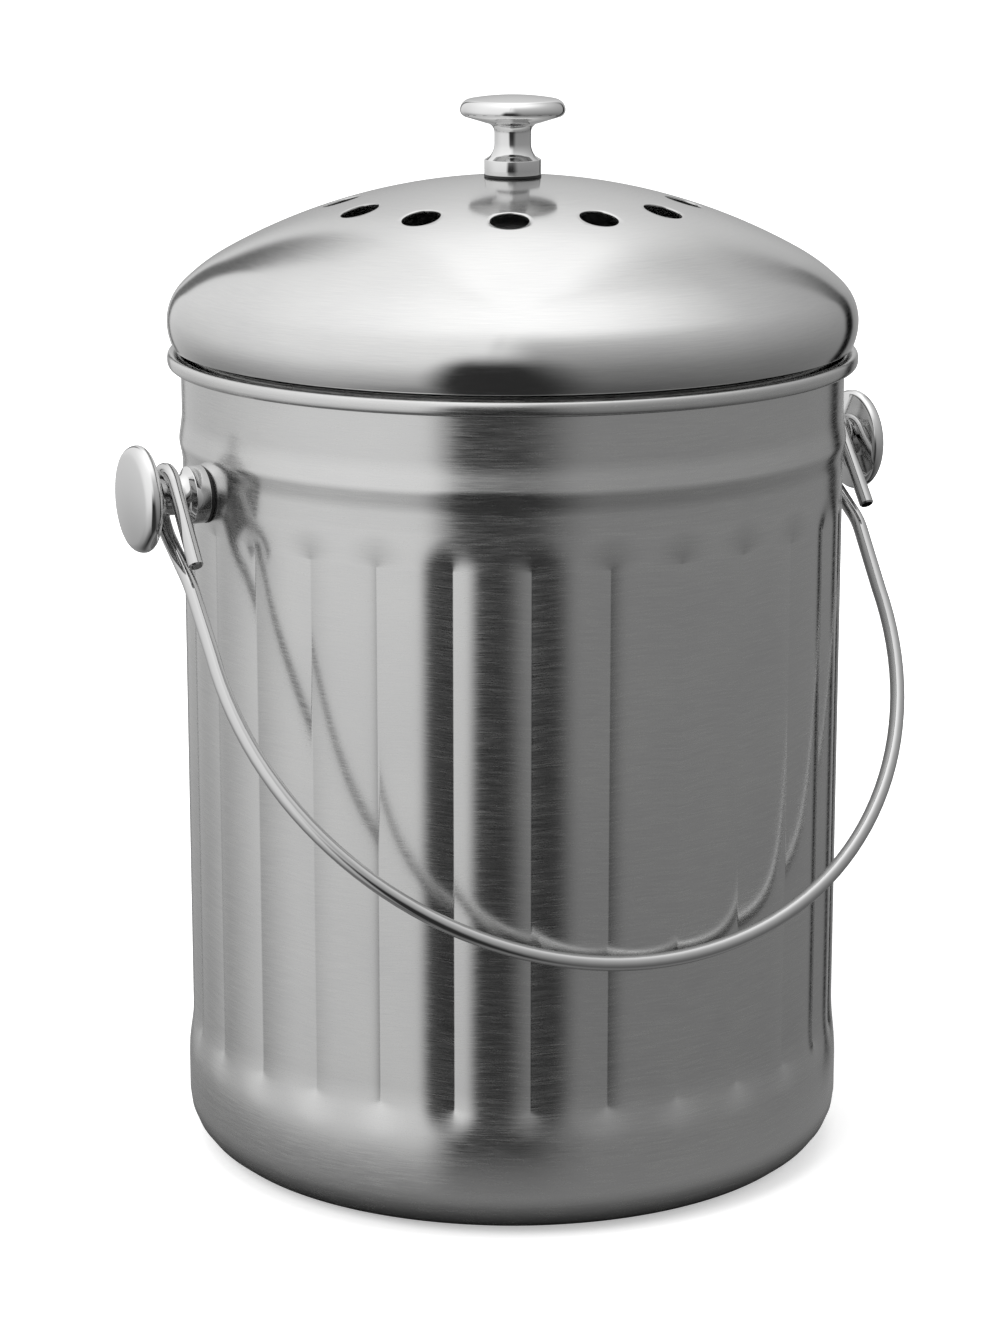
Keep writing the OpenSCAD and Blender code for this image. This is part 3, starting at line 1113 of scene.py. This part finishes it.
@dataclass
class Bail:
    """The bail: polished round wire with an open hook at each end. Millimetres."""

    axis_height: float
    hook_x: float
    wire_radius: float = 1.79
    drop: float = 130.5
    round_radius: float = 88.3
    hook_radius: float = 6.26
    hook_tail: float = 22.0
    hook_side: float = 6.0
    hook_join: float = 23.0
    lean: float = 39.07
    bend: float = 16.0
    sides: int = 24
    arch_steps: int = 72
    hook_steps: int = 24
    chamfer: float = 0.35

    @property
    def arch_height(self) -> float:
        """The height of the arch's centre, below the studs' axis."""
        return self.round_radius - self.drop

    def half_path(self) -> list[tuple[float, float, float, float]]:
        """Lay out the right half of the wire.

        Returns:
            Corners with their radii, from the hook's open end to the arch.
        """
        x = self.hook_x
        turns = (math.pi * i / self.hook_steps for i in range(self.hook_steps + 1))
        hook = [
            (x, -self.hook_radius * math.cos(t), self.hook_radius * math.sin(t), 0.0)
            for t in turns
        ]
        return [
            (x, -self.hook_radius, -self.hook_tail, 0.0),
            *hook,
            (x, self.hook_radius, -self.hook_side, self.bend),
            (x, 0.0, -self.hook_join, self.bend),
            (self.round_radius, 0.0, self.arch_height, 0.0),
        ]

    def path(self) -> list[Vector]:
        """Lay out the whole wire.

        Returns:
            Points of its middle line, hanging straight down from the studs' axis.
        """
        right = rounded(self.half_path(), 10)
        left = [Vector((-p.x, p.y, p.z)) for p in right]
        turns = (math.pi * i / self.arch_steps for i in range(1, self.arch_steps))
        top, reach = self.arch_height, self.round_radius
        arch = [Vector((reach * math.cos(t), 0, top - reach * math.sin(t))) for t in turns]
        return right + arch + left[::-1]

    def build(self, finisher: Finisher) -> None:
        """Build the bail at rest against the front of the pail.

        Args:
            finisher: What gives it its finish.
        """
        bm = bmesh.new()
        sweep(bm, self.path(), self.wire_radius, self.sides, self.chamfer)
        lean = Matrix.Rotation(-math.radians(self.lean), 4, "X")
        pose = Matrix.Translation((0, 0, self.axis_height)) @ lean
        bmesh.ops.transform(bm, matrix=pose, verts=bm.verts)
        smooth(bm)
        finisher.place(bm, "wire_bail", Slot.WIRE, Body.BAIL, "bail_handle")


# ---------------------------------------------------------------- studio


# A colour ramp holds up to 1, so the scrims' brightness is held as a share of this
FULL_SCALE = 1.6
# What makes a map range a step with soft ends
SOFT = {"interpolation_type": "SMOOTHSTEP"}


@dataclass(frozen=True)
class Sight:
    """The direction in which the metal looks out, in a node tree. Degrees."""

    tree: NodeTree
    azimuth: Node
    elevation: Node


@dataclass(frozen=True)
class Scrim:
    """One cloth side of the light tent, from a seam on. Degrees.

    Each stop is an elevation with its brightness.
    """

    seam: float
    seam_width: float
    stops: tuple[tuple[float, float], ...]

    def level(self, sight: Sight) -> Node:
        """Add the nodes for the brightness of this side.

        Args:
            sight: Where the metal looks.

        Returns:
            The node that gives the brightness.
        """
        share = add_node(
            sight.tree, "MapRange", {"From Min": -90.0, "From Max": 90.0},
            {"Value": sight.elevation},
        )
        ramp = add_node(sight.tree, "ValToRGB", links={"Fac": share})
        elements = ramp.color_ramp.elements
        while len(elements) < len(self.stops):
            elements.new(1.0)
        for element, (degrees, level) in zip(elements, self.stops):
            tone = level / FULL_SCALE
            element.position = (degrees + 90) / 180
            element.color = (tone, tone, tone, 1)
        scale = {"operation": "MULTIPLY", 1: FULL_SCALE}
        return add_node(sight.tree, "Math", scale, {0: ramp})


@dataclass(frozen=True)
class Gap:
    """A dark upright gap between two scrims, with soft edges. Degrees.

    Its sides lean: start and end each give an azimuth at the bend's lower and
    upper elevation.
    """

    start: tuple[float, float]
    end: tuple[float, float]
    bend: tuple[float, float]
    start_edge: float
    end_edge: float
    top: float
    top_edge: float
    brightness: float

    def cut(self, sight: Sight, level: Node) -> Node:
        """Add the nodes that cut this gap in the cloth.

        Args:
            sight: Where the metal looks.
            level: The cloth's brightness without the gap.

        Returns:
            The node that gives the brightness with the gap.
        """
        tree = sight.tree
        low, high = self.bend
        beyond = []
        for (low_side, high_side), edge in ((self.start, self.start_edge), (self.end, self.end_edge)):
            lean = {"From Min": low, "From Max": high, "To Min": low_side, "To Max": high_side}
            side = add_node(tree, "MapRange", lean, {"Value": sight.elevation})
            away = add_node(tree, "Math", {"operation": "SUBTRACT"}, {0: sight.azimuth, 1: side})
            fade = {**SOFT, "From Min": -edge / 2, "From Max": edge / 2}
            beyond.append(add_node(tree, "MapRange", fade, {"Value": away}))
        within = add_node(tree, "Math", {"operation": "SUBTRACT"}, {0: beyond[0], 1: beyond[1]})
        half = self.top_edge / 2
        fade = {**SOFT, "From Min": self.top - half, "From Max": self.top + half}
        above = add_node(tree, "MapRange", fade, {"Value": sight.elevation})
        below = add_node(tree, "Math", {"operation": "SUBTRACT", 0: 1.0}, {1: above})
        mask = add_node(tree, "Math", {"operation": "MULTIPLY"}, {0: within, 1: below})
        dark = {"data_type": "FLOAT", 3: self.brightness}
        return add_node(tree, "Mix", dark, {0: mask, 2: level})


# Elevations with their brightness, for the scrims before, beside and behind the pail
BRIGHT_STOPS = (
    (-90, 0.01), (-66, 0.02), (-50, 0.22), (-38, 0.5), (-20, 0.71), (-13, 0.84), (-8, 0.92),
    (0, 1.0), (15, 1.08), (30, 1.12), (45, 1.18), (60, 1.3), (78, 1.5), (88, 1.6),
)
LEFT_STOPS = (
    (-90, 0.01), (-66, 0.02), (-50, 0.1), (-36, 0.24), (-20, 0.38), (-13, 0.53), (-8, 0.65),
    (0, 0.8), (15, 0.92), (30, 1.0), (45, 1.14), (60, 1.3), (78, 1.5), (88, 1.6),
)
DIM_STOPS = (
    (-90, 0.01), (-66, 0.02), (-50, 0.11), (-30, 0.2), (-15, 0.255), (0, 0.35), (15, 0.45),
    (30, 0.56), (46, 0.73), (56, 0.97), (64, 1.2), (73, 1.42), (84, 1.6),
)
BACK_STOPS = (
    (-90, 0.01), (-60, 0.05), (-30, 0.28), (0, 0.42), (10, 0.55), (20, 0.7), (30, 0.84),
    (38, 1.02), (44, 1.2), (50, 1.4), (62, 1.55), (88, 1.6),
)


@dataclass
class Tent:
    """The light tent that only metal sees, with a glowing disc under it: a painted reflection of the
    lit floor, with a painted shadow at the foot. Metres.
    """

    radius: float = 3.0
    height: float = 0.12
    facets: int = 96
    scrims: tuple[Scrim, ...] = (
        Scrim(-180.0, 1.0, BRIGHT_STOPS),
        Scrim(-115.0, 20.0, DIM_STOPS),
        Scrim(46.0, 12.0, BACK_STOPS),
        Scrim(79.0, 8.0, LEFT_STOPS),
        Scrim(145.0, 70.0, BRIGHT_STOPS),
    )
    # Start, end, bend, edge at the start, edge at the end, top, edge at the top, brightness
    gaps: tuple[Gap, ...] = (
        Gap((-123.0, -122.5), (-118.5, -119.0), (0.0, 60.0), 4.0, 4.0, 60.0, 36.0, 0.95),
        Gap((-145.0, -132.0), (-92.0, -110.0), (-40.0, 20.0), 14.0, 26.0, 13.0, 38.0, 0.035),
        Gap((82.4, 81.4), (87.8, 89.4), (-5.0, 8.0), 3.0, 3.0, 34.0, 30.0, 0.16),
        Gap((26.0, 33.0), (36.0, 44.0), (0.0, 20.0), 5.0, 5.0, 20.0, 40.0, 0.0),
    )
    # The disc's glow is a painted reflection of the floor, and its dark middle is a painted shadow at
    # the foot
    mat_radius: float = 0.18
    mat_lift: float = 0.0002
    mat_fade: tuple[float, float] = (0.09, 0.165)
    mat_painted_shadow: tuple[float, float] = (0.071, 0.095)
    painted_reflection_level: float = 0.27

    def build(self) -> None:
        """Hang the tent and lay the glowing disc that the foot of the pail mirrors: a painted
        reflection of the lit floor, with a painted shadow at the foot.
        """
        tent = bmesh.new()
        bmesh.ops.create_uvsphere(
            tent, u_segments=self.facets, v_segments=self.facets // 2, radius=self.radius
        )
        bmesh.ops.translate(tent, vec=(0, 0, self.height), verts=tent.verts)
        bmesh.ops.reverse_faces(tent, faces=tent.faces)
        mat = bmesh.new()
        bmesh.ops.create_circle(mat, cap_ends=True, segments=self.facets, radius=self.mat_radius)
        bmesh.ops.translate(mat, vec=(0, 0, self.mat_lift), verts=mat.verts)
        for bm, name, surface in (
            (tent, "light_tent", self.tent_surface), (mat, "painted_floor_reflection", self.mat_surface)
        ):
            piece = add_object(bm, name, make_material(name, surface))
            piece.active_material.cycles.emission_sampling = "NONE"
            for ray in ("camera", "diffuse", "shadow", "transmission"):
                setattr(piece, f"visible_{ray}", False)

    def tent_surface(self, tree: NodeTree, place: NodeSocket) -> Node:
        """Add the nodes of the tent's glowing cloth, with its seams and gaps.

        Args:
            tree: The material's node tree.
            place: Its object coordinates.

        Returns:
            The shader.
        """
        middle = {"operation": "SUBTRACT", 1: (0, 0, self.height)}
        centred = add_node(tree, "VectorMath", middle, {0: place})
        unit = add_node(tree, "VectorMath", {"operation": "NORMALIZE"}, {0: centred})
        axes = add_node(tree, "SeparateXYZ", links={"Vector": unit})
        angles = (
            add_node(tree, "Math", {"operation": function}, links)
            for function, links in (
                ("ARCTAN2", {0: axes.outputs["Y"], 1: axes.outputs["X"]}),
                ("ARCSINE", {0: axes.outputs["Z"]}),
            )
        )
        sight = Sight(tree, *(
            add_node(tree, "Math", {"operation": "DEGREES"}, {0: angle})
            for angle in angles
        ))
        level = self.scrims[0].level(sight)
        for scrim in self.scrims[1:]:
            half = scrim.seam_width / 2
            seam = {**SOFT, "From Min": scrim.seam - half, "From Max": scrim.seam + half}
            beyond = add_node(tree, "MapRange", seam, {"Value": sight.azimuth})
            level = add_node(
                tree, "Mix", {"data_type": "FLOAT"},
                {0: beyond, 2: level, 3: scrim.level(sight)},
            )
        for gap in self.gaps:
            level = gap.cut(sight, level)
        return add_node(tree, "Emission", links={"Strength": level})

    def mat_surface(self, tree: NodeTree, place: NodeSocket) -> Node:
        """Add the nodes of the glowing disc: a painted reflection of the lit floor, with a painted
        shadow at the foot, clear at its edge.

        Args:
            tree: The material's node tree.
            place: Its object coordinates.

        Returns:
            The shader.
        """
        away = add_node(tree, "VectorMath", {"operation": "LENGTH"}, {0: place})
        # Painted shadow: the glow is held dark near the foot, then rises to the painted reflection's
        # brightness
        lit, clear = (
            add_node(
                tree, "MapRange", {**SOFT, "From Min": start, "From Max": end},
                {"Value": away.outputs["Value"]},
            )
            for start, end in (self.mat_painted_shadow, self.mat_fade)
        )
        dim = {"operation": "MULTIPLY", 1: self.painted_reflection_level}
        level = add_node(tree, "Math", dim, {0: lit})
        glow = add_node(tree, "Emission", links={"Strength": level})
        air = add_node(tree, "BsdfTransparent")
        return add_node(tree, "MixShader", links={0: clear, 1: glow, 2: air})


@dataclass(frozen=True)
class Lamp:
    """A soft square lamp. Metres and watts."""

    name: str
    place: tuple[float, float, float]
    size: float
    power: float


@dataclass
class Studio:
    """A pale floor, a white backdrop, soft lamps and a light tent for the metal. Metres."""

    tent: Tent
    floor_size: float = 12.0
    floor_colour: str = "F4F4F4"
    floor_lift: float = 0.42
    floor_fade: tuple[float, float] = (0.2, 0.7)
    world_level: float = 0.5
    camera_place: tuple[float, float, float] = (-0.3723, -0.7913, 0.3285)
    camera_aim: tuple[float, float, float] = (-0.00275, 0.00128, 0.1196)
    camera_lens: float = 99.26
    camera_sensor: float = 36.0
    lamps: tuple[Lamp, ...] = (
        Lamp("left_softbox", (-1.5, -0.6, 1.5), 1.4, 22.0),
        Lamp("right_softbox", (1.4, -1.0, 1.3), 1.4, 9.0),
        Lamp("top_softbox", (0.0, 0.2, 2.1), 1.6, 18.0),
    )

    def build(self) -> None:
        """Build the whole studio."""
        self.build_camera()
        self.build_floor()
        self.tent.build()
        self.build_world()
        self.build_lamps()

    @staticmethod
    def aim(
        name: str, data: Camera | Light,
        place: tuple[float, float, float], target: tuple[float, float, float],
    ) -> Object:
        """Stand a camera or a lamp in the scene, aimed at a point.

        Args:
            name: The object's name.
            data: The camera or the light.
            place: Where it stands.
            target: What it points at.

        Returns:
            The new object.
        """
        item = bpy.data.objects.new(name, data)
        bpy.context.scene.collection.objects.link(item)
        item.location = place
        line = Vector(target) - Vector(place)
        item.rotation_euler = line.to_track_quat("-Z", "Y").to_euler()
        return item

    def build_camera(self) -> None:
        """Put the camera at its viewing angle."""
        data = bpy.data.cameras.new("camera")
        data.lens = self.camera_lens
        data.sensor_fit = "VERTICAL"
        data.sensor_height = self.camera_sensor
        camera = self.aim("camera", data, self.camera_place, self.camera_aim)
        bpy.context.scene.camera = camera

    def build_lamps(self) -> None:
        """Stand the soft lamps round the pail."""
        for lamp in self.lamps:
            light = bpy.data.lights.new(lamp.name, "AREA")
            light.size = lamp.size
            light.energy = lamp.power
            # The metal mirrors the tent's cloth, which hides the lamps behind it
            self.aim(lamp.name, light, lamp.place, (0, 0, self.tent.height)).visible_glossy = False

    def build_floor(self) -> None:
        """Lay the pale floor, which shows as white where nothing shades it."""
        bm = bmesh.new()
        bmesh.ops.create_grid(bm, x_segments=1, y_segments=1, size=self.floor_size / 2)
        floor = add_object(bm, "floor", make_material("pale_floor", self.floor_surface))
        floor.visible_glossy = False

    def floor_surface(self, tree: NodeTree, place: NodeSocket) -> Node:
        """Add the nodes of the floor, which glows more with its distance from the pail.

        Args:
            tree: The material's node tree.
            place: Its object coordinates.

        Returns:
            The shader.
        """
        colour = {"Color": linear(self.floor_colour)}
        diffuse = add_node(tree, "BsdfDiffuse", colour)
        away = add_node(tree, "VectorMath", {"operation": "LENGTH"}, {0: place})
        near, far = self.floor_fade
        level = add_node(
            tree, "MapRange",
            {"From Min": near, "From Max": far, "To Min": self.floor_lift, "To Max": 1.0},
            {"Value": away.outputs["Value"]},
        )
        lift = add_node(tree, "Math", {"operation": "MULTIPLY"}, {0: level, 1: self.seen(tree)})
        glow = add_node(tree, "Emission", links={"Strength": lift})
        return add_node(tree, "AddShader", links={0: diffuse, 1: glow})

    @staticmethod
    def seen(tree: NodeTree) -> Node:
        """Add the nodes that tell rays that look from rays that light.

        Args:
            tree: The node tree to add to.

        Returns:
            The node that gives 1 for camera, glossy and transmission rays.
        """
        rays = add_node(tree, "LightPath").outputs
        seen = rays["Is Camera Ray"]
        for kind in ("Is Glossy Ray", "Is Transmission Ray"):
            links = {0: seen, 1: rays[kind]}
            seen = add_node(tree, "Math", {"operation": "MAXIMUM"}, links)
        return seen

    def build_world(self) -> None:
        """Light softly from all round, in front of a white backdrop."""
        world = bpy.data.worlds.new("backdrop")
        bpy.context.scene.world = world
        world.use_nodes = True
        tree = world.node_tree
        tree.nodes.clear()
        levels = {"To Min": self.world_level, "To Max": 1.0}
        level = add_node(tree, "MapRange", levels, {"Value": self.seen(tree)})
        white = {"Color": (1, 1, 1, 1)}
        background = add_node(tree, "Background", white, {"Strength": level})
        add_node(tree, "OutputWorld", links={"Surface": background})


# ---------------------------------------------------------------- whole object


def build_knobs(knob: Knob, pail: Pail, lid: Lid, finisher: Finisher) -> None:
    """Build the lid's knob and the two studs, each with its gasket.

    Args:
        knob: The turned part, which is the same three times.
        pail: The pail that the studs sit on.
        lid: The lid that the knob sits on.
        finisher: What gives them their finish.
    """
    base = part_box("lid_knob")[0].z / MM
    upright = Matrix.Translation((0, 0, base))
    below = Matrix.Translation((0, 0, base - knob.gasket_height))
    knob.build(finisher, Fitting("lid_knob_turned", "lid_knob", Body.LID, upright))
    knob.build_gasket(
        finisher, Fitting("lid_knob_seal", "lid_knob_gasket", Body.LID, below),
        lambda p: lid.crown_radius - math.sqrt(lid.crown_radius**2 - p.xy.length_squared),
    )
    for side, sign in (("left", -1), ("right", 1)):
        low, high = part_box(f"{side}_handle_stud")
        axis_height = (low.z + high.z) / 2 / MM
        turn = Matrix.Rotation(sign * math.pi / 2, 4, "Y")
        reach = pail.neck_radius + knob.gasket_height
        stud = Matrix.Translation((sign * reach, 0, axis_height)) @ turn
        seal = Matrix.Translation((sign * pail.neck_radius, 0, axis_height)) @ turn
        knob.build(finisher, Fitting(f"{side}_stud_turned", f"{side}_handle_stud", Body.PAIL, stud))
        knob.build_gasket(
            finisher, Fitting(f"{side}_stud_seal", f"{side}_stud_gasket", Body.PAIL, seal),
            lambda p: pail.neck_radius - math.sqrt(pail.neck_radius**2 - p.y**2),
        )


def dress_solids(finisher: Finisher) -> None:
    """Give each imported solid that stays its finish.

    Args:
        finisher: What gives them their finish.
    """
    for place in ("left_stud", "right_stud", "lid_knob"):
        for part in ("washer", "lock_washer", "screw"):
            finisher.dress_solid(f"{place}_{part}", Slot.ZINC)
    finisher.dress_solid("charcoal_filter", Slot.FELT)
    finisher.dress_solid("filter_retaining_ring", Slot.PLASTIC)


def main() -> None:
    logging.basicConfig(level=logging.INFO, format="%(name)s: %(message)s")
    bpy.context.scene.view_settings.view_transform = "Standard"
    finisher = Finisher()
    Studio(Tent()).build()
    pail = Pail(height=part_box("pail_body")[1].z / MM)
    pail.build(finisher)
    lid = Lid(seat=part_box("lid_dome")[0].z / MM)
    lid.build(finisher)
    knob = Knob()
    build_knobs(knob, pail, lid, finisher)
    stud_low, stud_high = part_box("right_handle_stud")
    bail = Bail(
        axis_height=(stud_low.z + stud_high.z) / 2 / MM,
        hook_x=stud_low.x / MM + knob.stem_low + knob.stem_length / 2,
    )
    bail.build(finisher)
    dress_solids(finisher)


if __name__ == "__main__":
    main()
